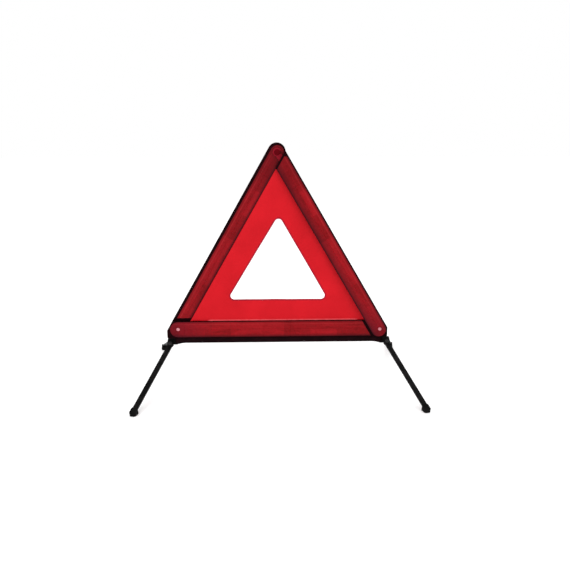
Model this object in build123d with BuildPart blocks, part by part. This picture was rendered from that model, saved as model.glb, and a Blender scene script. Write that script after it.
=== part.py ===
"""Folding warning triangle: three reflector arms, a fluorescent sheet and four folding legs."""

import math
import os

from build123d import *

os.makedirs("parts", exist_ok=True)

# Frame: X to the right seen from the front, -Y towards the viewer, Z up, floor at Z 0.
pivot_x = 198.0  # each lower pivot, left and right of the middle
pivot_z = 103.0  # height of both lower pivots above the floor
apex_x = -2.6  # the two upper arms meet slightly left of the middle
apex_rise = 341.4  # apex above the lower pivots
layer_y = 8.2  # middle of an upper arm behind or in front of the bottom arm
apex_y = 3.75  # the same distance at the apex, where the arms lean together

# Arm section: a black tray with a reflector lens set into its front.
arm_depth = 7.0
lens_recess = 0.6
lens_depth = 3.4
bottom_edges = (-18.5, 15.5)  # below and above the pivot line
bottom_left_end = -21.5  # square lower corners of the bottom arm, from the left pivot
bottom_right_end = 412.6
bottom_corner = 2.5
left_edges = (-15.8, 17.5)  # inner and outer side of the pivot line
right_edges = (-14.7, 16.8)  # outer and inner side of the pivot line
bottom_lens_edges = (-16.5, 15.0)
left_lens_edges = (-13.0, 12.3)
right_lens_edges = (-12.3, 16.3)
bottom_lens_end = 22.0  # bottom lens stops this far from the right arm's pivot line
left_lens_start = 20.5  # left lens starts this high above the pivot, just over the bottom arm
tail_length = 15.0  # bottom arm is thinned from this far before the right pivot to its end
tail_depth = 3.8

# Pivot rivets and washers.
rivet_radius = 3.0
running_gap = 0.05
dome_radius = 3.3
back_head_radius = 5.5
washer_radius = 9.0

# Catch at the apex: a stud on the left arm and an open hook on the right arm.
stud_radius = 2.5
stud_cap_radius = 5.5
stud_cap_bottom = 2.8  # above the front face of the left arm
stud_cap_top = 4.0
hook_depth = 2.0
hook_radius = 8.0
hook_slot = 5.8
hook_width = 11.0
hook_root = 42.0  # length of the hook strip from the stud to its end under the right arm
mitre_offset = 11.5  # right arm ends along the left arm, this far from its pivot line
mitre_rim = 3.5
relief_half = 7.5
relief_depth = 3.9

# Base rail, end brackets and legs.
channel_half_x = 204.0
channel_half_y = 4.2
channel_bottom = 75.2
bracket_end = 215.0
bracket_bottom = 71.8
leg_x = 213.0
leg_y = 12.0
leg_z = 74.2
foot_x = 259.0  # front feet
foot_y = 166.0
rear_foot_x = 254.0  # rear legs stand a little straighter
foot_z = 7.0
leg_width = 10.0
leg_depth = 2.5
leg_rivet_radius = 2.5
leg_washer_depth = 0.75
wing_depth = 2.0
wing_width = 12.2
wing_trim = 83.0  # wings are cut off level here, below the folded arms
foot_length = 16.0
foot_width = 12.0
foot_cover = 2.5

# Fluorescent sheet.
sheet_depth = 0.6
sheet_left = 13.2  # left edge from the pivot line of the left arm
sheet_right = 12.0  # right edge from the pivot line of the right arm
sheet_top = 310.0  # flat top edge above the lower pivots
hole_bottom = 59.6  # above the lower pivots
hole_top = 224.8  # sharp corner above the lower pivots
hole_half = 97.3
hole_x = -2.5  # middle of its lower edge
hole_tip_x = -0.2
hole_corner = 7.5

# Each upper arm turns about an axis that leans by the same small amount.
lean = math.atan((layer_y - apex_y) / apex_rise)
lean_sin = math.sin(lean)
lean_cos = math.cos(lean)
left_run = pivot_x + apex_x
right_run = pivot_x - apex_x
left_span = math.hypot(left_run, apex_rise / lean_cos)
right_span = math.hypot(right_run, apex_rise / lean_cos)
left_angle = math.atan2(apex_rise / lean_cos, left_run)
right_angle = math.atan2(apex_rise / lean_cos, right_run)
apex_angle = math.pi - left_angle - right_angle

bottom_plane = Plane(origin=(-pivot_x, 0, pivot_z), x_dir=(1, 0, 0), z_dir=(0, -1, 0))
left_plane = Plane(
    origin=(-pivot_x, layer_y, pivot_z),
    x_dir=(
        math.cos(left_angle),
        -lean_sin * math.sin(left_angle),
        lean_cos * math.sin(left_angle),
    ),
    z_dir=(0, -lean_cos, -lean_sin),
)
right_plane = Plane(
    origin=(pivot_x, -layer_y, pivot_z),
    x_dir=(
        -math.cos(right_angle),
        lean_sin * math.sin(right_angle),
        lean_cos * math.sin(right_angle),
    ),
    z_dir=(0, -lean_cos, lean_sin),
)

half_depth = arm_depth / 2
lens_front = half_depth - lens_recess
lens_back = lens_front - lens_depth
bottom_span = 2 * pivot_x


def arm_slot(span, edges):
    """A round-ended strip between two pivots, reaching from edges[0] to edges[1] across."""
    with BuildSketch() as strip:
        with Locations((span / 2, (edges[0] + edges[1]) / 2)):
            SlotCenterToCenter(span, edges[1] - edges[0])
    return strip.sketch


def bottom_outline():
    """Bottom arm: square lower corners, and upper corners cut along the outer sides of the triangle."""
    left_slant = left_run / apex_rise
    right_slant = right_run / apex_rise
    left_foot = -left_edges[1] * math.hypot(1, left_slant)
    right_foot = bottom_span - right_edges[0] * math.hypot(1, right_slant)
    top = bottom_edges[1]
    with BuildSketch() as outline:
        with BuildLine():
            Polyline(
                (bottom_left_end, bottom_edges[0]),
                (bottom_right_end, bottom_edges[0]),
                (bottom_right_end, (right_foot - bottom_right_end) / right_slant),
                (right_foot - top * right_slant, top),
                (left_foot + top * left_slant, top),
                (bottom_left_end, (bottom_left_end - left_foot) / left_slant),
                close=True,
            )
        make_face()
        fillet(outline.vertices(), radius=bottom_corner)
    return outline.sketch


def bottom_lens_outline():
    """Bottom lens: round at the left, and ending along the inner edge of the right arm."""
    slant = right_run / apex_rise
    end = bottom_span - bottom_lens_end * math.hypot(1, slant)
    with BuildSketch() as outline:
        add(arm_slot(bottom_span, bottom_lens_edges))
        with BuildSketch(mode=Mode.PRIVATE) as beyond:
            Polygon(
                (end + 30 * slant, -30),
                (bottom_span + 60, -30),
                (bottom_span + 60, 30),
                (end - 30 * slant, 30),
                align=None,
            )
        add(beyond.sketch, mode=Mode.SUBTRACT)
    return outline.sketch


def left_lens_outline():
    """Left lens: round at the head, and starting level just above the bottom arm."""
    sine, cosine = math.sin(left_angle), math.cos(left_angle)
    with BuildSketch() as outline:
        add(arm_slot(left_span, left_lens_edges))
        with BuildSketch(mode=Mode.PRIVATE) as hidden:
            Polygon(
                (-40, -30),
                ((left_lens_start + 30 * cosine) / sine, -30),
                ((left_lens_start - 30 * cosine) / sine, 30),
                (-40, 30),
                align=None,
            )
        add(hidden.sketch, mode=Mode.SUBTRACT)
    return outline.sketch


def mitre_cutter(distance):
    """The area beyond the line that ends the right arm, in the frame of the right arm."""
    reach = 60.0
    shift = reach - distance
    with BuildSketch() as cutter:
        with Locations((right_span + shift * math.sin(apex_angle), shift * math.cos(apex_angle))):
            Rectangle(2 * reach, 260, rotation=90 - math.degrees(apex_angle))
    return cutter.sketch


# ---------------------------------------------------------------- bottom arm
bottom_lens = bottom_lens_outline()
right_drill = right_plane.offset(-layer_y - 0.25)
left_drill = left_plane.offset(-half_depth)

with BuildPart() as bottom_arm_shell:
    with BuildSketch(bottom_plane.offset(-half_depth)):
        add(bottom_outline())
    extrude(amount=arm_depth)
    with BuildSketch(bottom_plane.offset(lens_back)):
        add(bottom_lens)
    extrude(amount=arm_depth, mode=Mode.SUBTRACT)
    with BuildSketch(bottom_plane.offset(-half_depth)):
        with Locations((bottom_span + tail_length, 0)):
            Rectangle(4 * tail_length, 50)
    extrude(amount=arm_depth - tail_depth, mode=Mode.SUBTRACT)
    with BuildSketch(left_drill):
        Circle(rivet_radius)
    extrude(amount=4 * arm_depth, mode=Mode.SUBTRACT)
    with BuildSketch(right_drill):
        Circle(rivet_radius)
    extrude(amount=2 * arm_depth, mode=Mode.SUBTRACT)
    with BuildSketch(right_drill):
        Circle(rivet_radius + 1.5)
    extrude(amount=1.5, taper=45, mode=Mode.SUBTRACT)
bottom_arm_shell.part.label = "bottom_arm_shell"
export_step(bottom_arm_shell.part, "parts/bottom_arm_shell.step")

with BuildPart() as bottom_arm_lens:
    with BuildSketch(bottom_plane.offset(lens_back)):
        add(bottom_lens)
    extrude(amount=lens_depth)
    with BuildSketch(left_drill):
        Circle(rivet_radius)
    extrude(amount=4 * arm_depth, mode=Mode.SUBTRACT)
bottom_arm_lens.part.label = "bottom_arm_lens"
export_step(bottom_arm_lens.part, "parts/bottom_arm_lens.step")

# ---------------------------------------------------------------- left arm
left_lens = left_lens_outline()

with BuildPart() as left_arm_shell:
    with BuildSketch(left_plane.offset(-half_depth)):
        add(arm_slot(left_span, left_edges))
    extrude(amount=arm_depth)
    with BuildSketch(left_plane.offset(lens_back)):
        add(left_lens)
    extrude(amount=arm_depth, mode=Mode.SUBTRACT)
    with BuildSketch(left_plane.offset(-half_depth)):
        Circle(rivet_radius + running_gap)
        with Locations((left_span, 0)):
            Circle(stud_radius)
    extrude(amount=arm_depth, mode=Mode.SUBTRACT)
left_arm_shell.part.label = "left_arm_shell"
export_step(left_arm_shell.part, "parts/left_arm_shell.step")

with BuildPart() as left_arm_lens:
    with BuildSketch(left_plane.offset(lens_back)):
        add(left_lens)
        with Locations((left_span, 0)):
            Circle(stud_radius, mode=Mode.SUBTRACT)
    extrude(amount=lens_depth)
left_arm_lens.part.label = "left_arm_lens"
export_step(left_arm_lens.part, "parts/left_arm_lens.step")

with BuildPart() as apex_stud:
    with BuildSketch(left_plane.offset(-half_depth)):
        with Locations((left_span, 0)):
            Circle(stud_radius)
    extrude(amount=arm_depth + stud_cap_bottom)
    with BuildSketch(left_plane.offset(half_depth + stud_cap_bottom)):
        with Locations((left_span, 0)):
            Circle(stud_cap_radius)
    extrude(amount=stud_cap_top - stud_cap_bottom)
    cap_rim = apex_stud.edges().filter_by(GeomType.CIRCLE).sort_by(Axis.Y)[0]
    fillet(cap_rim, radius=0.7)
apex_stud.part.label = "apex_stud"
export_step(apex_stud.part, "parts/apex_stud.step")

# ---------------------------------------------------------------- right arm
slot_turn = math.degrees(right_angle)


def stud_path():
    """The strip behind the right arm that the stud's cap passes through."""
    with BuildSketch() as path:
        with Locations((
            right_span - 20 * math.cos(right_angle),
            -20 * math.sin(right_angle),
        )):
            Rectangle(50, 2 * relief_half, rotation=slot_turn)
    return path.sketch


def right_lens_outline():
    """Right lens: ends along the left arm, clear of the stud's path."""
    with BuildSketch() as outline:
        add(arm_slot(right_span, right_lens_edges))
        add(mitre_cutter(mitre_offset + mitre_rim), mode=Mode.SUBTRACT)
        add(stud_path(), mode=Mode.SUBTRACT)
    return outline.sketch


def hook_outline():
    """The open hook round the stud and the strip that holds it, in the frame of the right arm."""
    with BuildSketch() as hook:
        with Locations((right_span - hook_root / 2, 0)):
            Rectangle(hook_root, hook_width)
        with Locations((right_span, 0)):
            Circle(hook_radius)
            Circle(hook_slot / 2, mode=Mode.SUBTRACT)
        with Locations((
            right_span - 10 * math.cos(right_angle),
            -10 * math.sin(right_angle),
        )):
            Rectangle(20, hook_slot, rotation=slot_turn, mode=Mode.SUBTRACT)
    return hook.sketch


right_lens = right_lens_outline()

with BuildPart() as right_arm_shell:
    with BuildSketch(right_plane.offset(-half_depth)):
        add(arm_slot(right_span, right_edges))
        add(mitre_cutter(mitre_offset), mode=Mode.SUBTRACT)
    extrude(amount=arm_depth)
    with BuildSketch(right_plane.offset(lens_back)):
        add(right_lens)
    extrude(amount=arm_depth, mode=Mode.SUBTRACT)
    with BuildSketch(right_plane.offset(-half_depth)):
        Circle(rivet_radius + running_gap)
    extrude(amount=arm_depth, mode=Mode.SUBTRACT)
    with BuildSketch(right_plane.offset(-half_depth)):
        add(hook_outline())
    extrude(amount=hook_depth, mode=Mode.SUBTRACT)
    with BuildSketch(right_plane.offset(-half_depth)):
        add(stud_path())
    extrude(amount=relief_depth, mode=Mode.SUBTRACT)
right_arm_shell.part.label = "right_arm_shell"
export_step(right_arm_shell.part, "parts/right_arm_shell.step")

with BuildPart() as right_arm_lens:
    with BuildSketch(right_plane.offset(lens_back)):
        add(right_lens)
        Circle(rivet_radius + running_gap, mode=Mode.SUBTRACT)
    extrude(amount=lens_depth)
right_arm_lens.part.label = "right_arm_lens"
export_step(right_arm_lens.part, "parts/right_arm_lens.step")

with BuildPart() as apex_hook:
    with BuildSketch(right_plane.offset(-half_depth)):
        add(hook_outline())
    extrude(amount=hook_depth)
apex_hook.part.label = "apex_hook"
export_step(apex_hook.part, "parts/apex_hook.step")

# ---------------------------------------------------------------- pivots
bottom_front = layer_y + lens_front + 0.06  # lens of the bottom arm, from the left arm's middle

with BuildPart() as left_pivot_rivet:
    with BuildSketch(left_plane.offset(-half_depth - 0.1)):
        Circle(rivet_radius)
    extrude(amount=bottom_front + half_depth + 0.1)
    with BuildSketch(left_plane.offset(bottom_front)):
        Circle(dome_radius)
    extrude(amount=1.2)
    fillet(left_pivot_rivet.edges().filter_by(GeomType.CIRCLE).sort_by(Axis.Y)[0], radius=1.0)
    with BuildSketch(left_plane.offset(-half_depth - 0.1)):
        Circle(back_head_radius)
    extrude(amount=-1.6)
    fillet(left_pivot_rivet.edges().filter_by(GeomType.CIRCLE).sort_by(Axis.Y)[-1], radius=1.2)
left_pivot_rivet.part.label = "left_pivot_rivet"
export_step(left_pivot_rivet.part, "parts/left_pivot_rivet.step")

with BuildPart() as right_pivot_rivet:
    with BuildSketch(right_drill):
        Circle(rivet_radius)
    extrude(amount=layer_y + 0.25 + lens_front + 0.1)
    with BuildSketch(right_drill):
        Circle(rivet_radius + 1.5)
    extrude(amount=1.5, taper=45)
    with BuildSketch(right_plane.offset(lens_front + 0.1)):
        Circle(dome_radius)
    extrude(amount=2.0)
    fillet(right_pivot_rivet.edges().filter_by(GeomType.CIRCLE).sort_by(Axis.Y)[0], radius=1.6)
right_pivot_rivet.part.label = "right_pivot_rivet"
export_step(right_pivot_rivet.part, "parts/right_pivot_rivet.step")

with BuildPart() as left_pivot_washer:
    with BuildSketch(left_plane.offset(half_depth + running_gap)):
        Circle(washer_radius)
        Circle(rivet_radius, mode=Mode.SUBTRACT)
    extrude(amount=0.9)
left_pivot_washer.part.label = "left_pivot_washer"
export_step(left_pivot_washer.part, "parts/left_pivot_washer.step")

with BuildPart() as right_pivot_washer:
    with BuildSketch(right_plane.offset(-half_depth - running_gap)):
        Circle(washer_radius)
        Circle(rivet_radius, mode=Mode.SUBTRACT)
    extrude(amount=-0.9)
right_pivot_washer.part.label = "right_pivot_washer"
export_step(right_pivot_washer.part, "parts/right_pivot_washer.step")

# ---------------------------------------------------------------- base rail
channel_top = pivot_z + bottom_edges[0]

with BuildPart() as base_channel:
    with BuildSketch(Plane.XY.offset(channel_bottom)):
        RectangleRounded(2 * channel_half_x, 2 * channel_half_y, 2.0)
    extrude(amount=channel_top - channel_bottom)
base_channel.part.label = "base_channel"
export_step(base_channel.part, "parts/base_channel.step")

# ---------------------------------------------------------------- leg geometry
leg_drop = leg_z - foot_z
leg_length = math.hypot(foot_x - leg_x, foot_y - leg_y, leg_drop)
wing_bottom = leg_depth / 2 + running_gap + leg_washer_depth
wing_top = wing_bottom + wing_depth


def leg_lie(end):
    """Slope of the plane of a front (-1) or rear (1) leg, and the leg's turn in it, in radians."""
    run_x = (foot_x if end < 0 else rear_foot_x) - leg_x
    down = math.sqrt(leg_length**2 - run_x**2)
    return math.asin(leg_drop / down), math.atan2(down, run_x)


def leg_plane(side, end):
    """Plane of one leg at its pivot: X points outwards, Z is the upper face of the leg."""
    slope, _ = leg_lie(end)
    return Plane(
        origin=(side * leg_x, end * leg_y, leg_z),
        x_dir=(side, 0, 0),
        z_dir=(0, end * math.sin(slope), math.cos(slope)),
    )


def along_leg(side, end, distance):
    """Point on the middle line of a leg and the leg's turn, in the plane of that leg."""
    turn = side * end * leg_lie(end)[1]
    return (distance * math.cos(turn), distance * math.sin(turn)), math.degrees(turn)


for side_name, side in (("left", -1), ("right", 1)):
    with BuildPart() as bracket:
        for end in (-1, 1):
            wing = leg_plane(side, end).offset(wing_bottom)
            ridge = leg_y / math.cos(leg_lie(end)[0])
            with BuildSketch(wing):
                with Locations((0, -side * end * ridge / 2)):
                    SlotCenterToCenter(ridge, wing_width, rotation=90)
            extrude(amount=wing_depth)
        split(bisect_by=Plane.XY.offset(wing_trim), keep=Keep.BOTTOM)
        with BuildSketch(Plane.XZ):
            with BuildLine():
                Polyline(
                    (side * 184, channel_bottom),
                    (side * channel_half_x, channel_bottom),
                    (side * channel_half_x, channel_top),
                    (side * bracket_end, channel_top),
                    (side * bracket_end, bracket_bottom),
                    (side * 201, bracket_bottom),
                )
                ThreePointArc(
                    (side * 201, bracket_bottom),
                    (side * 195, channel_bottom - 1.5),
                    (side * 184, channel_bottom),
                )
            make_face()
        extrude(amount=channel_half_y, both=True)
        for end in (-1, 1):
            with BuildSketch(leg_plane(side, end).offset(-10)):
                Circle(leg_rivet_radius)
            extrude(amount=20, mode=Mode.SUBTRACT)
    bracket.part.label = f"{side_name}_end_bracket"
    export_step(bracket.part, f"parts/{side_name}_end_bracket.step")

for side_name, side in (("left", -1), ("right", 1)):
    for end_name, end in (("front", -1), ("rear", 1)):
        middle, turn = along_leg(side, end, leg_length / 2)
        toe, turn = along_leg(side, end, leg_length)
        with BuildPart() as leg:
            with BuildSketch(leg_plane(side, end).offset(-leg_depth / 2)):
                with Locations(middle):
                    SlotCenterToCenter(leg_length, leg_width, rotation=turn)
                Circle(leg_width / 2 + 1.5)
                Circle(leg_rivet_radius + running_gap, mode=Mode.SUBTRACT)
            extrude(amount=leg_depth)
        leg.part.label = f"{end_name}_{side_name}_leg"
        export_step(leg.part, f"parts/{end_name}_{side_name}_leg.step")

        with BuildPart() as foot:
            with BuildSketch(leg_plane(side, end).offset(-16)):
                with Locations(toe):
                    RectangleRounded(foot_length, foot_width, 4, rotation=turn)
            extrude(amount=16 + foot_cover)
            with BuildSketch(leg_plane(side, end).offset(-leg_depth / 2)):
                with Locations(middle):
                    SlotCenterToCenter(leg_length, leg_width, rotation=turn)
            extrude(amount=leg_depth, mode=Mode.SUBTRACT)
            split(bisect_by=Plane.XY, keep=Keep.TOP)
        foot.part.label = f"{end_name}_{side_name}_foot"
        export_step(foot.part, f"parts/{end_name}_{side_name}_foot.step")

with BuildPart() as leg_rivets:
    for side in (-1, 1):
        for end in (-1, 1):
            with BuildSketch(leg_plane(side, end).offset(-leg_depth / 2 - running_gap)):
                Circle(leg_rivet_radius)
            extrude(amount=leg_depth / 2 + running_gap + wing_top)
            with BuildSketch(leg_plane(side, end).offset(wing_top)):
                Circle(4.4)
            extrude(amount=1.6, taper=20)
            with BuildSketch(leg_plane(side, end).offset(-leg_depth / 2 - running_gap)):
                Circle(4.4)
            extrude(amount=-1.6, taper=20)
leg_rivets.part.label = "leg_rivets"
export_step(leg_rivets.part, "parts/leg_rivets.step")

with BuildPart() as leg_washers:
    for side in (-1, 1):
        for end in (-1, 1):
            with BuildSketch(leg_plane(side, end).offset(wing_bottom)):
                Circle(6.0)
                Circle(leg_rivet_radius, mode=Mode.SUBTRACT)
            extrude(amount=-leg_washer_depth)
leg_washers.part.label = "leg_washers"
export_step(leg_washers.part, "parts/leg_washers.step")

# ---------------------------------------------------------------- fluorescent sheet
sheet_bottom = bottom_edges[1]


def left_edge_x(height):
    """Where the sheet's left edge is at this height above the lower pivots."""
    return -pivot_x + (height * left_run + sheet_left * math.hypot(left_run, apex_rise)) / apex_rise


def right_edge_x(height):
    """Where the sheet's right edge is at this height above the lower pivots."""
    return pivot_x - (height * right_run + sheet_right * math.hypot(right_run, apex_rise)) / apex_rise


with BuildPart() as fluorescent_sheet:
    with BuildSketch(Plane.XZ.offset(-sheet_depth / 2)):
        with BuildLine():
            Polyline(
                (left_edge_x(sheet_bottom), pivot_z + sheet_bottom),
                (right_edge_x(sheet_bottom), pivot_z + sheet_bottom),
                (right_edge_x(sheet_top), pivot_z + sheet_top),
                (left_edge_x(sheet_top), pivot_z + sheet_top),
                close=True,
            )
        make_face()
        with BuildSketch(Plane.XZ.offset(-sheet_depth / 2), mode=Mode.PRIVATE) as hole:
            with BuildLine():
                Polyline(
                    (hole_x - hole_half, pivot_z + hole_bottom),
                    (hole_x + hole_half, pivot_z + hole_bottom),
                    (hole_tip_x, pivot_z + hole_top),
                    close=True,
                )
            make_face()
            fillet(hole.vertices(), radius=hole_corner)
        add(hole.sketch, mode=Mode.SUBTRACT)
    extrude(amount=sheet_depth)
fluorescent_sheet.part.label = "fluorescent_sheet"
export_step(fluorescent_sheet.part, "parts/fluorescent_sheet.step")
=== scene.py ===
"""Look of the folding warning triangle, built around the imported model. Metres throughout."""

import math

import bpy
from mathutils import Matrix, Vector


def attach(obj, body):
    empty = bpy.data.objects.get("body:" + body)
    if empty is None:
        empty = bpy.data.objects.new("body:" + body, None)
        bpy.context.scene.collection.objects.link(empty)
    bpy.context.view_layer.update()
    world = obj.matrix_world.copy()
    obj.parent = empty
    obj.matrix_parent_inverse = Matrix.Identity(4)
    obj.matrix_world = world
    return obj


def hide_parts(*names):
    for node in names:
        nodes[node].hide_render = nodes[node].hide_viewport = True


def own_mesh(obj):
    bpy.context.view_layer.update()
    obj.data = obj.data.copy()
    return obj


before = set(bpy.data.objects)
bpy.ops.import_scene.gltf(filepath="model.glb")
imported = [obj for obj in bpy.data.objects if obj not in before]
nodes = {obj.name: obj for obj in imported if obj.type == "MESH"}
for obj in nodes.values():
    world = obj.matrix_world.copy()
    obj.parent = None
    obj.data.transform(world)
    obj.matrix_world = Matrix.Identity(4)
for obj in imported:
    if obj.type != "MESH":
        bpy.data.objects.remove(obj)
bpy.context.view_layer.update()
scene = bpy.context.scene
scene.view_settings.view_transform = "Standard"

# ------------------------------------------------------------------ camera
TARGET = Vector((0.012, 0.0, 0.1909))
DISTANCE = 1.277
PITCH = math.radians(15.1)
YAW = math.radians(-1.6)
SENSOR_WIDTH, FOCAL_LENGTH = 36.0, 41.56  # millimetres

camera_data = bpy.data.cameras.new("camera")
camera_data.sensor_width = SENSOR_WIDTH
camera_data.lens = FOCAL_LENGTH
camera = bpy.data.objects.new("camera", camera_data)
back = Vector((
    math.sin(YAW) * math.cos(PITCH),
    -math.cos(YAW) * math.cos(PITCH),
    math.sin(PITCH),
))
camera.location = TARGET + back * DISTANCE
camera.rotation_euler = back.to_track_quat("Z", "Y").to_euler()
scene.collection.objects.link(camera)
scene.camera = camera


# ------------------------------------------------------------------ lights and floor
def area_light(name, place, aim, size, power):
    """A square soft light at place, pointing at aim."""
    data = bpy.data.lights.new(name, "AREA")
    data.size = size
    data.energy = power
    light = bpy.data.objects.new(name, data)
    light.location = place
    light.rotation_euler = (Vector(place) - Vector(aim)).to_track_quat("Z", "Y").to_euler()
    scene.collection.objects.link(light)


LIGHT_AIM = (0, 0, 0.2)
area_light("key", (-0.9, -1.6, 1.9), LIGHT_AIM, 1.4, 16.0)
area_light("fill", (1.5, -1.3, 1.0), LIGHT_AIM, 1.6, 8.0)
area_light("rim", (0.3, 1.5, 1.7), LIGHT_AIM, 1.6, 8.0)

world = bpy.data.worlds.new("studio")
scene.world = world
world.use_nodes = True
sky = world.node_tree.nodes["Background"]
sky.inputs["Color"].default_value = (1.0, 1.0, 1.0, 1.0)
sky.inputs["Strength"].default_value = 1.0


# ------------------------------------------------------------------ arm frames, in metres
PIVOT_X, PIVOT_Z, APEX_X, RISE = 0.198, 0.103, -0.0026, 0.3414
LAYER_Y, APEX_Y = 0.0082, 0.00375
LEAN = math.atan((LAYER_Y - APEX_Y) / RISE)
LEFT_RUN, RIGHT_RUN = PIVOT_X + APEX_X, PIVOT_X - APEX_X
LEFT_TURN = math.atan2(RISE / math.cos(LEAN), LEFT_RUN)
RIGHT_TURN = math.atan2(RISE / math.cos(LEAN), RIGHT_RUN)
LENS_FRONT = 0.0029


def arm_frame(origin, along, front):
    """Matrix whose X runs along the arm, Z faces the front and Y lies across."""
    along, front = Vector(along).normalized(), Vector(front).normalized()
    across = front.cross(along)
    matrix = Matrix((along, across, front)).transposed().to_4x4()
    matrix.translation = Vector(origin)
    return matrix


BOTTOM_FRAME = arm_frame((-PIVOT_X, 0, PIVOT_Z), (1, 0, 0), (0, -1, 0))
LEFT_FRAME = arm_frame(
    (-PIVOT_X, LAYER_Y, PIVOT_Z),
    (
        math.cos(LEFT_TURN),
        -math.sin(LEAN) * math.sin(LEFT_TURN),
        math.cos(LEAN) * math.sin(LEFT_TURN),
    ),
    (0, -math.cos(LEAN), -math.sin(LEAN)),
)
RIGHT_FRAME = arm_frame(
    (PIVOT_X, -LAYER_Y, PIVOT_Z),
    (
        -math.cos(RIGHT_TURN),
        math.sin(LEAN) * math.sin(RIGHT_TURN),
        math.cos(LEAN) * math.sin(RIGHT_TURN),
    ),
    (0, -math.cos(LEAN), math.sin(LEAN)),
)


# ------------------------------------------------------------------ material helpers
class Tree:
    """A short way to add and join shader nodes."""

    def __init__(self, name):
        self.material = bpy.data.materials.new(name)
        self.material.use_nodes = True
        self.nodes = self.material.node_tree.nodes
        self.links = self.material.node_tree.links
        self.shader = self.nodes["Principled BSDF"]

    def set(self, **values):
        """Constant values on the shader's own sockets."""
        for key, value in values.items():
            self.shader.inputs[key.replace("_", " ")].default_value = value

    def add(self, kind, inputs=None, **settings):
        """A new node, with its settings, and its inputs joined to sockets or set to values."""
        node = self.nodes.new(kind)
        for key, value in settings.items():
            setattr(node, key, value)
        for key, value in (inputs or {}).items():
            if isinstance(value, bpy.types.NodeSocket):
                self.links.new(value, node.inputs[key])
            else:
                node.inputs[key].default_value = value
        return node

    def place(self):
        return self.add("ShaderNodeTexCoord").outputs["Object"]

    def maths(self, operation, a, b=0.0):
        return self.add("ShaderNodeMath", {0: a, 1: b}, operation=operation).outputs[0]

    def dot(self, vector, direction):
        return self.add(
            "ShaderNodeVectorMath", {0: vector, 1: direction}, operation="DOT_PRODUCT"
        ).outputs["Value"]

    def combine(self, x, y, z=0.0):
        return self.add("ShaderNodeCombineXYZ", {0: x, 1: y, 2: z}).outputs[0]

    def noise(self, vector, scale, detail=3.0, roughness=0.5):
        return self.add(
            "ShaderNodeTexNoise",
            {"Vector": vector, "Scale": scale, "Detail": detail, "Roughness": roughness},
        ).outputs["Fac"]

    def mix(self, factor, a, b):
        node = self.add("ShaderNodeMix", data_type="RGBA")
        for socket, value in ((0, factor), (6, a), (7, b)):
            if isinstance(value, bpy.types.NodeSocket):
                self.links.new(value, node.inputs[socket])
            else:
                node.inputs[socket].default_value = value
        return node.outputs[2]

    def span(self, value, low, high, to_low=0.0, to_high=1.0):
        """Maps low..high onto to_low..to_high, and stops at both ends."""
        limits = {"From Min": low, "From Max": high, "To Min": to_low, "To Max": to_high}
        return self.add("ShaderNodeMapRange", {"Value": value, **limits}).outputs[0]

    def bump(self, height, distance, strength=1.0, normal=None):
        inputs = {"Height": height, "Distance": distance, "Strength": strength}
        if normal is not None:
            inputs["Normal"] = normal
        return self.add("ShaderNodeBump", inputs).outputs[0]

    def to(self, socket, output):
        self.links.new(output, self.shader.inputs[socket])


def rgb(r, g, b):
    return (r, g, b, 1.0)


def plastic(name, dark, light, roughness, grain=0.00006, scale=900.0):
    """Moulded plastic or rubber: slight colour drift, fine grain and worn patches."""
    t = Tree(name)
    p = t.place()
    t.to("Base Color", t.mix(t.span(t.noise(p, 35.0), 0.35, 0.7), dark, light))
    wear = t.noise(p, 60.0, 5.0)
    t.to("Roughness", t.span(wear, 0.3, 0.7, roughness - 0.08, roughness + 0.1))
    t.to("Normal", t.bump(t.noise(p, scale, 2.0), grain))
    t.set(Specular_IOR_Level=0.025)
    return t.material


def metal(name, dark, light, roughness, metallic=1.0):
    """Painted or bare metal with fine brushing and small scuffs."""
    t = Tree(name)
    p = t.place()
    t.to("Base Color", t.mix(t.span(t.noise(p, 80.0, 6.0), 0.4, 0.72), dark, light))
    scuffs = t.noise(p, 140.0, 6.0)
    t.to("Roughness", t.span(scuffs, 0.3, 0.7, roughness - 0.1, roughness + 0.12))
    t.to("Normal", t.bump(t.noise(p, 1400.0, 2.0), 0.00003))
    t.set(Metallic=metallic, Specular_IOR_Level=0.03)
    return t.material


BLOCK = 0.052  # length of a moulded block
BLOCK_SHARE, STREAK_SHARE, GLINT_SHARE = 0.35, 0.65, 0.16
STREAK_ALONG, STREAK_ACROSS = 22.0, 110.0
CUBE_CORNERS = 420.0
LENS_RED_LOW, LENS_RED_HIGH = 0.15, 0.33
# Painted light on the lens: the first colour below is painted edge shade, the second painted side
# shade, the third a painted highlight line.
LENS_EDGE_SHADE = rgb(0.070, 0.001, 0.005)
LENS_SIDE_SHADE = rgb(0.035, 0.001, 0.004)
LENS_HIGHLIGHT = rgb(0.42, 0.030, 0.035)
LENS_END = rgb(0.055, 0.001, 0.008)
LENS_TOP = rgb(0.060, 0.001, 0.004)
EDGE_SHADE_REACH, SIDE_SHADE_REACH, RIGHT_SIDE_SHADE_REACH = 0.0034, 0.0065, 0.016
HIGHLIGHT_INSET = 0.0052
END_REACH = 0.075
TOP_FROM, TOP_TO = 0.29, 0.385


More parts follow.
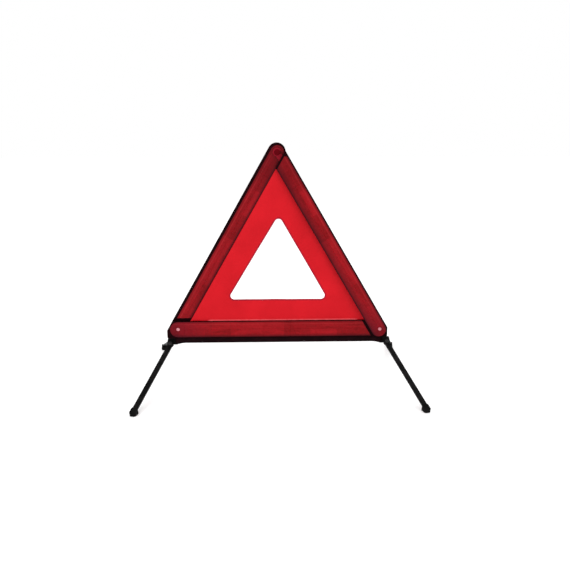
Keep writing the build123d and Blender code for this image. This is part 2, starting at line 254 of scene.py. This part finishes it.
def lens(name, matrix, low, high, shade=1.0, shaded_side=-1.0, side_shade_reach=SIDE_SHADE_REACH,
         end_tint=0.0, top_tint=0.0, edge_shade_share=0.45):
    """Prismatic reflector: two rows of moulded blocks, lengthwise streaks and tiny cube corners.

    Painted shade darkens it along both long edges, more on its shaded side, and shade dims all its
    red as painted shade. A thin light line near its other long edge is a painted highlight, and
    its tints darken its two ends.
    """
    t = Tree(name)
    p = t.place()
    along, across, origin = matrix.col[0].xyz, matrix.col[1].xyz, matrix.translation
    u = t.maths("SUBTRACT", t.dot(p, along), origin.dot(along))
    v = t.maths("SUBTRACT", t.dot(p, across), origin.dot(across) + (low + high) / 2)
    half = (high - low) / 2
    block = t.maths("FLOOR", t.maths("DIVIDE", u, BLOCK))
    row = t.maths("FLOOR", t.maths("DIVIDE", v, half))
    tone = t.add(
        "ShaderNodeTexWhiteNoise", {"Vector": t.combine(block, row, 0.5)}, noise_dimensions="3D"
    ).outputs["Value"]
    stretched = t.combine(
        t.maths("MULTIPLY", u, STREAK_ALONG), t.maths("MULTIPLY", v, STREAK_ACROSS)
    )
    flow = t.noise(stretched, 1.0, 3.0)
    prisms = {"Vector": p, "Scale": CUBE_CORNERS}
    cells = t.add(
        "ShaderNodeTexVoronoi", prisms, feature="DISTANCE_TO_EDGE"
    ).outputs["Distance"]
    facets = t.add("ShaderNodeTexVoronoi", prisms).outputs["Color"]
    glint = t.add("ShaderNodeSeparateColor", {0: facets}).outputs[0]
    level = t.maths(
        "ADD", t.maths("MULTIPLY", tone, BLOCK_SHARE), t.maths("MULTIPLY", flow, STREAK_SHARE)
    )
    sparkle = t.maths("MULTIPLY", t.maths("SUBTRACT", glint, 0.5), GLINT_SHARE)
    level = t.maths("ADD", level, sparkle)
    colour = t.mix(
        t.span(level, 0.2, 0.8),
        rgb(LENS_RED_LOW * shade, 0.0006, 0.002),
        rgb(LENS_RED_HIGH * shade, 0.005, 0.010),
    )
    # Painted shade: the lens darkens towards both long edges.
    rim = t.span(t.maths("ABSOLUTE", v), half - EDGE_SHADE_REACH, half - 0.0006)
    colour = t.mix(t.maths("MULTIPLY", rim, edge_shade_share), colour, LENS_EDGE_SHADE)
    # Painted shade: one long side of the lens is darker, where less light falls on it.
    side_shade = t.span(t.maths("MULTIPLY", v, shaded_side), half - side_shade_reach, half - 0.0008)
    colour = t.mix(t.maths("MULTIPLY", side_shade, 0.7), colour, LENS_SIDE_SHADE)
    # Painted highlight: a thin light line near the long edge across from the shaded side.
    off_highlight = t.maths("ABSOLUTE", t.maths("ADD", v, shaded_side * (half - HIGHLIGHT_INSET)))
    colour = t.mix(t.span(off_highlight, 0.0010, 0.0003, 0.0, 0.3), colour, LENS_HIGHLIGHT)
    colour = t.mix(t.span(u, END_REACH, 0.0, 0.0, end_tint), colour, LENS_END)
    colour = t.mix(t.span(u, TOP_FROM, TOP_TO, 0.0, top_tint), colour, LENS_TOP)
    t.to("Base Color", colour)
    t.to("Normal", t.bump(t.span(cells, 0.0, 0.12), 0.00014, 0.4))
    t.set(Roughness=0.35, Specular_IOR_Level=0.06, Coat_Weight=0.04, Coat_Roughness=0.12)
    return t.material


black_plastic = plastic(
    "black_plastic", rgb(0.006, 0.0003, 0.0008), rgb(0.012, 0.0010, 0.0022), 0.42
)
black_rubber = plastic(
    "black_rubber", rgb(0.003, 0.003, 0.003), rgb(0.008, 0.008, 0.008), 0.7, 0.00012
)
black_paint = metal(
    "black_paint", rgb(0.002, 0.002, 0.002), rgb(0.009, 0.008, 0.008), 0.38, 0.0
)
rail_paint = metal(
    "rail_paint", rgb(0.005, 0.0004, 0.0010), rgb(0.010, 0.0014, 0.0026), 0.4, 0.0
)
nylon = plastic("nylon", rgb(0.03, 0.03, 0.03), rgb(0.05, 0.05, 0.05), 0.5)
dark_steel = metal("dark_steel", rgb(0.02, 0.02, 0.02), rgb(0.06, 0.055, 0.055), 0.4)
# Painted reflection: the metal rivet heads are coloured pink, standing in for the red around them
# that they reflect.
bright_rivet = metal(
    "bright_rivet", rgb(0.50, 0.17, 0.20), rgb(0.66, 0.28, 0.31), 0.4, 0.15
)
stud_red = plastic("stud_red", rgb(0.075, 0.0004, 0.002), rgb(0.105, 0.0006, 0.004), 0.3)
hook_red = plastic("hook_red", rgb(0.17, 0.004, 0.010), rgb(0.24, 0.008, 0.018), 0.3)

BOTTOM_LENS = (-0.0165, 0.0150)
LEFT_LENS = (-0.0130, 0.0123)
RIGHT_LENS = (-0.0123, 0.0163)
lens_bottom = lens("lens_bottom", BOTTOM_FRAME, *BOTTOM_LENS, end_tint=0.5)
# Painted shade: the left lens has the same red as the others, painted darker.
lens_left = lens("lens_left", LEFT_FRAME, *LEFT_LENS, shade=0.92, top_tint=0.5)
lens_right = lens(
    "lens_right", RIGHT_FRAME, *RIGHT_LENS,
    shaded_side=1.0, side_shade_reach=RIGHT_SIDE_SHADE_REACH, end_tint=0.4, top_tint=0.35, edge_shade_share=0.8,
)

LOOK = {
    "bottom_arm_shell": black_plastic,
    "left_arm_shell": black_plastic,
    "right_arm_shell": black_plastic,
    "bottom_arm_lens": lens_bottom,
    "left_arm_lens": lens_left,
    "right_arm_lens": lens_right,
    "base_channel": rail_paint,
    "left_end_bracket": black_paint,
    "right_end_bracket": black_paint,
    "left_pivot_rivet": bright_rivet,
    "right_pivot_rivet": bright_rivet,
    "left_pivot_washer": nylon,
    "right_pivot_washer": nylon,
    "leg_rivets": dark_steel,
    "leg_washers": nylon,
    "apex_stud": stud_red,
    "apex_hook": hook_red,
}
for corner in ("front_left", "front_right", "rear_left", "rear_right"):
    LOOK[corner + "_leg"] = black_paint
    LOOK[corner + "_foot"] = black_rubber


def dress(obj, material, bevel=0.0):
    """Gives a piece its material, and a small rounding on its edges."""
    obj.data.materials.clear()
    obj.data.materials.append(material)
    if bevel:
        rounding = obj.modifiers.new("rounding", "BEVEL")
        rounding.width = bevel
        rounding.segments = 2
        rounding.limit_method = "ANGLE"
        rounding.angle_limit = math.radians(40)
        rounding.harden_normals = False


BEVELS = {
    "shell": 0.0007,
    "lens": 0.0004,
    "bracket": 0.0006,
    "channel": 0.0006,
    "foot": 0.0022,
    "leg": 0.0004,
}
for node_name, material in LOOK.items():
    width = next((w for key, w in BEVELS.items() if node_name.endswith(key)), 0.0)
    dress(nodes[node_name], material, width)


# ------------------------------------------------------------------ mesh helpers
def mesh_object(name, points, faces, material, body, smooth=False):
    """A mesh in the row frame that moves with a body."""
    mesh = bpy.data.meshes.new(name)
    mesh.from_pydata([tuple(p) for p in points], [], faces)
    mesh.validate()
    mesh.update()
    if smooth:
        mesh.shade_smooth()
    obj = bpy.data.objects.new(name, mesh)
    scene.collection.objects.link(obj)
    mesh.materials.append(material)
    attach(obj, body)
    return obj


class Heap:
    """Gathers small ridges into one mesh."""

    def __init__(self):
        self.points = []
        self.faces = []

    def ridge(self, matrix, start, end, half, height, base=0.0):
        """A ridge from start to end in the XY plane of matrix, narrower at the top."""
        start, end = Vector((*start, 0.0)), Vector((*end, 0.0))
        way = (end - start).normalized()
        side = Vector((-way.y, way.x, 0.0))
        first = len(self.points)
        for lift, reach in ((base, half), (base + height, half * 0.45)):
            for spot, sign in ((start, -1), (start, 1), (end, 1), (end, -1)):
                tip = way * ((half - reach) if spot is start else (reach - half))
                corner = spot + tip + side * (sign * reach) + Vector((0, 0, lift))
                self.points.append(matrix @ corner)
        a = first
        self.faces += [
            (a + 4, a + 7, a + 6, a + 5),
            (a, a + 1, a + 2, a + 3),
            (a, a + 4, a + 5, a + 1),
            (a + 1, a + 5, a + 6, a + 2),
            (a + 2, a + 6, a + 7, a + 3),
            (a + 3, a + 7, a + 4, a),
        ]


# ------------------------------------------------------------------ lens ribs
RIB_HALF = 0.00045
RIB_HEIGHT = 0.00028
RIB_INSET = 0.001


def lens_ribs(name, matrix, material, body, low, high, first, last):
    """Cross ribs between the prism blocks and one rib along the middle of a lens."""
    heap = Heap()
    middle = (low + high) / 2
    count = int((last - first) / BLOCK)
    ribs = [
        ((first + step * BLOCK, low + RIB_INSET), (first + step * BLOCK, high - RIB_INSET))
        for step in range(count + 1)
    ]
    ribs.append(((first, middle), (last, middle)))
    for start, end in ribs:
        heap.ridge(matrix, start, end, RIB_HALF, RIB_HEIGHT, LENS_FRONT)
    return mesh_object(name, heap.points, heap.faces, material, body)


all_ribs = [
    lens_ribs("bottom_lens_ribs", BOTTOM_FRAME, lens_bottom, "base", *BOTTOM_LENS, 0.012, 0.360),
    lens_ribs("left_lens_ribs", LEFT_FRAME, lens_left, "left_arm", *LEFT_LENS, 0.032, 0.375),
    lens_ribs("right_lens_ribs", RIGHT_FRAME, lens_right, "right_arm", *RIGHT_LENS, 0.012, 0.355),
]

# ------------------------------------------------------------------ rims on the backs of the trays
TRAY_BACK = 0.0035
RIM_INSET, RIM_HALF, RIM_HEIGHT = 0.0024, 0.0009, 0.0004


def tray_rims(name, matrix, body, low, high, first, last):
    """Two long raised rims on the back of a tray, a little inside its edges."""
    heap = Heap()
    facing_back = matrix @ Matrix.Rotation(math.pi, 4, "X")
    for across in (-low - RIM_INSET, -high + RIM_INSET):
        heap.ridge(facing_back, (first, across), (last, across), RIM_HALF, RIM_HEIGHT, TRAY_BACK)
    mesh_object(name, heap.points, heap.faces, black_plastic, body)


tray_rims("bottom_tray_rims", BOTTOM_FRAME, "base", -0.0185, 0.0155, 0.030, 0.360)
tray_rims("left_tray_rims", LEFT_FRAME, "left_arm", -0.0158, 0.0175, 0.030, 0.370)
tray_rims("right_tray_rims", RIGHT_FRAME, "right_arm", -0.0147, 0.0168, 0.030, 0.280)


# ------------------------------------------------------------------ fluorescent sheet
THREAD_RATE = 9000.0  # weave threads, in radians per metre
FABRIC_DARK, FABRIC_LIGHT = rgb(0.465, 0.0035, 0.009), rgb(0.57, 0.006, 0.013)
FABRIC_WEAVE = rgb(0.38, 0.003, 0.008)


def fabric():
    """Coated fluorescent fabric: fine weave, soft sheen, faint fading and handling marks."""
    t = Tree("fluorescent_fabric")
    p = t.place()
    x, z = t.dot(p, (1, 0, 0)), t.dot(p, (0, 0, 1))
    warp = t.maths("SINE", t.maths("MULTIPLY", x, THREAD_RATE))
    weft = t.maths("SINE", t.maths("MULTIPLY", z, THREAD_RATE))
    weave = t.maths("MULTIPLY", warp, weft)
    colour = t.mix(t.span(t.noise(p, 14.0, 4.0), 0.3, 0.7), FABRIC_DARK, FABRIC_LIGHT)
    colour = t.mix(t.span(weave, -1.0, 1.0, 0.0, 0.12), colour, FABRIC_WEAVE)
    t.to("Base Color", colour)
    t.to("Normal", t.bump(weave, 0.00005, 0.6, t.bump(t.noise(p, 30.0), 0.0012, 0.35)))
    t.set(Roughness=0.6, Specular_IOR_Level=0.1)
    return t.material


def trim(name, dark, light, scale):
    """Narrow fabric trim with a fine cross weave."""
    t = Tree(name)
    p = t.place()
    t.to("Base Color", t.mix(t.span(t.noise(p, scale, 3.0), 0.35, 0.65), dark, light))
    t.to("Normal", t.bump(t.noise(p, 2200.0, 2.0), 0.00006))
    t.set(Roughness=0.6, Specular_IOR_Level=0.1)
    return t.material


fluorescent = fabric()
edge_tape = trim("edge_tape", rgb(0.30, 0.004, 0.018), rgb(0.40, 0.008, 0.026), 120.0)
# Painted highlight: the hem is coloured paler than the sheet, standing in for the light line along
# the bottom fold.
hem_highlight_fabric = trim("hem_highlight_fabric", rgb(0.56, 0.040, 0.050), rgb(0.62, 0.070, 0.080), 90.0)
thread = trim("thread", rgb(0.36, 0.005, 0.014), rgb(0.46, 0.01, 0.02), 300.0)

SHEET_LEFT, SHEET_RIGHT = 0.0132, 0.012
SHEET_BOTTOM, SHEET_TOP = 0.0155, 0.310
SHEET_DEPTH = 0.0006
HOLE = [Vector((-0.0998, 0.1626)), Vector((0.0948, 0.1626)), Vector((-0.0002, 0.3278))]
HOLE_CORNER = 0.0075
HOLE_INNER_RADIUS = 0.0556  # from the middle of the opening to its sides
SIDE_STEPS = 62
ARC_STEPS = 6
SHEET_ROWS = 16


def left_edge(height):
    return Vector((
        -PIVOT_X + (height * LEFT_RUN + SHEET_LEFT * math.hypot(LEFT_RUN, RISE)) / RISE,
        PIVOT_Z + height,
    ))


def right_edge(height):
    return Vector((
        PIVOT_X - (height * RIGHT_RUN + SHEET_RIGHT * math.hypot(RIGHT_RUN, RISE)) / RISE,
        PIVOT_Z + height,
    ))


def corner_arc(before, corner, after, radius):
    """Points round a corner, from the first tangent point to the last."""
    a, b = (before - corner).normalized(), (after - corner).normalized()
    half = a.angle(b) / 2
    centre = corner + (a + b).normalized() * (radius / math.sin(half))
    start = corner + a * (radius / math.tan(half)) - centre
    end = corner + b * (radius / math.tan(half)) - centre
    sweep = start.angle_signed(end)
    points = []
    for step in range(2 * ARC_STEPS):
        turn = -sweep * step / (2 * ARC_STEPS - 1)
        points.append(centre + Vector((
            start.x * math.cos(turn) - start.y * math.sin(turn),
            start.x * math.sin(turn) + start.y * math.cos(turn),
        )))
    return points


def hole_loop(radius_offset=0.0):
    """Loop round the hole, or further out, in three stretches from mid corner to mid corner."""
    middle = (HOLE[0] + HOLE[1] + HOLE[2]) / 3
    inset = 1.0 + radius_offset / HOLE_INNER_RADIUS
    corners = [middle + (c - middle) * inset for c in HOLE]
    arcs = [
        corner_arc(corners[i - 1], corners[i], corners[(i + 1) % 3], HOLE_CORNER + radius_offset)
        for i in range(3)
    ]
    stretches = []
    for i in range(3):
        first, second = arcs[i][ARC_STEPS:], arcs[(i + 1) % 3][:ARC_STEPS]
        a, b = first[-1], second[0]
        straight = [a.lerp(b, (k + 1) / (SIDE_STEPS + 1)) for k in range(SIDE_STEPS)]
        stretches.append(first + straight + second)
    return stretches


def spread(a, b, like):
    """Points from a to b, spaced as the points of like are."""
    lengths = [0.0]
    for p, q in zip(like, like[1:]):
        lengths.append(lengths[-1] + (q - p).length)
    return [a.lerp(b, s / lengths[-1]) for s in lengths]


RIPPLE_CENTRE = Vector((-0.0024, 0.22))
RIPPLES = ((0.0008, 3, 0.6), (0.00045, 8, 2.1))  # height, waves in a full turn, phase
CREASE, CREASES = 0.00022, 23


def ripple(x, z, share):
    """How far the fabric stands off its plane; share is 0 at the frame and 1 at the hole."""
    turn = math.atan2(z - RIPPLE_CENTRE.y, x - RIPPLE_CENTRE.x)
    loose = share * share * (3 - 2 * share)
    wave = sum(height * math.sin(count * turn + phase) for height, count, phase in RIPPLES)
    crease = CREASE * math.sin(CREASES * turn) * math.sin(math.pi * min(1.0, share * 1.2))
    return loose * wave + crease


def ring(name, outer, inner, rows, depth, material, share_at):
    """A thin ring of fabric between two closed loops of the same number of points."""
    count = len(outer)
    points, faces = [], []
    for face_y in (-depth / 2, depth / 2):
        for row in range(rows + 1):
            for o, i in zip(outer, inner):
                p = o.lerp(i, row / rows)
                points.append((p.x, face_y + ripple(p.x, p.y, share_at(row / rows)), p.y))
    layer = (rows + 1) * count
    for row in range(rows):
        for k in range(count):
            n = (k + 1) % count
            a, b = row * count + k, row * count + n
            c, d = b + count, a + count
            faces += [(a, b, c, d), (layer + d, layer + c, layer + b, layer + a)]
    for k in range(count):
        n = (k + 1) % count
        faces.append((k, layer + k, layer + n, n))
        last = rows * count
        faces.append((last + n, layer + last + n, layer + last + k, last + k))
    return mesh_object(name, points, faces, material, "base", smooth=True)


hole_parts = hole_loop()
corners = [
    left_edge(SHEET_BOTTOM),
    right_edge(SHEET_BOTTOM),
    right_edge(SHEET_TOP),
    left_edge(SHEET_TOP),
]
outer_loop = (
    spread(corners[0], corners[1], hole_parts[0])
    + spread(corners[1], corners[2], hole_parts[1])
    + spread(corners[3], corners[0], hole_parts[2])
)
inner_loop = [p for part in hole_parts for p in part]
sheet = ring(
    "sheet", outer_loop, inner_loop, SHEET_ROWS, SHEET_DEPTH, fluorescent, lambda share: share
)
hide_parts("fluorescent_sheet")

TAPE_WIDTH, TAPE_DEPTH, TAPE_ROWS = 0.0026, 0.0011, 2
tape_loop = [p for part in hole_loop(TAPE_WIDTH) for p in part]
tape = ring(
    "sheet_edge_tape", tape_loop, inner_loop, TAPE_ROWS, TAPE_DEPTH, edge_tape, lambda share: 1.0
)

# ------------------------------------------------------------------ hem along the bottom edge
HEM_LEFT, HEM_RIGHT, HEM_HIGH, HEM_DEEP = -0.140, 0.156, 0.0032, 0.0011
HEM_STEPS, HEM_ROUND = 90, 10
HEM_TAPER, HEM_TIP = 0.006, 0.25  # length of its tapering ends, and how thin they get
HEM_LIFT = 0.0001
hem_points, hem_faces = [], []
for step in range(HEM_STEPS + 1):
    x = HEM_LEFT + (HEM_RIGHT - HEM_LEFT) * step / HEM_STEPS
    end = min(1.0, min(x - HEM_LEFT, HEM_RIGHT - x) / HEM_TAPER)
    size = HEM_TIP + (1 - HEM_TIP) * math.sqrt(max(0.0, end))
    for k in range(HEM_ROUND):
        turn = 2 * math.pi * k / HEM_ROUND
        z = PIVOT_Z + SHEET_BOTTOM + HEM_LIFT + HEM_HIGH / 2 * (1 + size * math.sin(turn))
        hem_points.append((x, size * HEM_DEEP * math.cos(turn), z))
for step in range(HEM_STEPS):
    for k in range(HEM_ROUND):
        a, n = step * HEM_ROUND + k, step * HEM_ROUND + (k + 1) % HEM_ROUND
        hem_faces.append((a, n, n + HEM_ROUND, a + HEM_ROUND))
hem_faces.append(tuple(reversed(range(HEM_ROUND))))
hem_faces.append(tuple(range(HEM_STEPS * HEM_ROUND, (HEM_STEPS + 1) * HEM_ROUND)))
hem = mesh_object("sheet_hem", hem_points, hem_faces, hem_highlight_fabric, "base", smooth=True)

# ------------------------------------------------------------------ stitches round the hole
stitches = Heap()
STITCH, STITCH_GAP = 0.0026, 0.0012
STITCH_HALF, STITCH_HEIGHT, STITCH_BASE = 0.00022, 0.00022, 0.00052
SEAM_PLACE = 0.55  # share of the tape's width
SHORTEST = 1e-6
seam = [p for part in hole_loop(TAPE_WIDTH * SEAM_PLACE) for p in part]
path = seam + [seam[0]]
walked = 0.0
for a, b in zip(path, path[1:]):
    length = (b - a).length
    if length < SHORTEST:
        continue
    while walked + STITCH < length:
        start, end = a.lerp(b, walked / length), a.lerp(b, (walked + STITCH) / length)
        off = ripple(start.x, start.y, 1.0)
        for way in (-1, 1):
            plane = Matrix(((1, 0, 0, 0), (0, 0, way, off), (0, 1, 0, 0), (0, 0, 0, 1)))
            stitches.ridge(plane, start, end, STITCH_HALF, STITCH_HEIGHT, STITCH_BASE)
        walked += STITCH + STITCH_GAP
    walked = max(0.0, walked - length)
seam_piece = mesh_object("sheet_stitching", stitches.points, stitches.faces, thread, "base")

for piece in (sheet, tape, hem, seam_piece):
    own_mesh(piece)

# ------------------------------------------------------------------ floor
floor_look = Tree("floor")
spot = floor_look.place()
floor_look.to(
    "Base Color",
    floor_look.mix(floor_look.noise(spot, 2.0), rgb(0.94, 0.94, 0.94), rgb(0.96, 0.96, 0.96)),
)
floor_look.set(Roughness=0.9, Emission_Color=(1.0, 1.0, 1.0, 1.0), Emission_Strength=0.1)
floor_mesh = bpy.data.meshes.new("floor")
FAR = 6
floor_mesh.from_pydata(
    [(-FAR, -FAR, 0), (FAR, -FAR, 0), (FAR, FAR, 0), (-FAR, FAR, 0)], [], [(0, 1, 2, 3)]
)
floor_mesh.materials.append(floor_look.material)
floor = bpy.data.objects.new("floor", floor_mesh)
scene.collection.objects.link(floor)
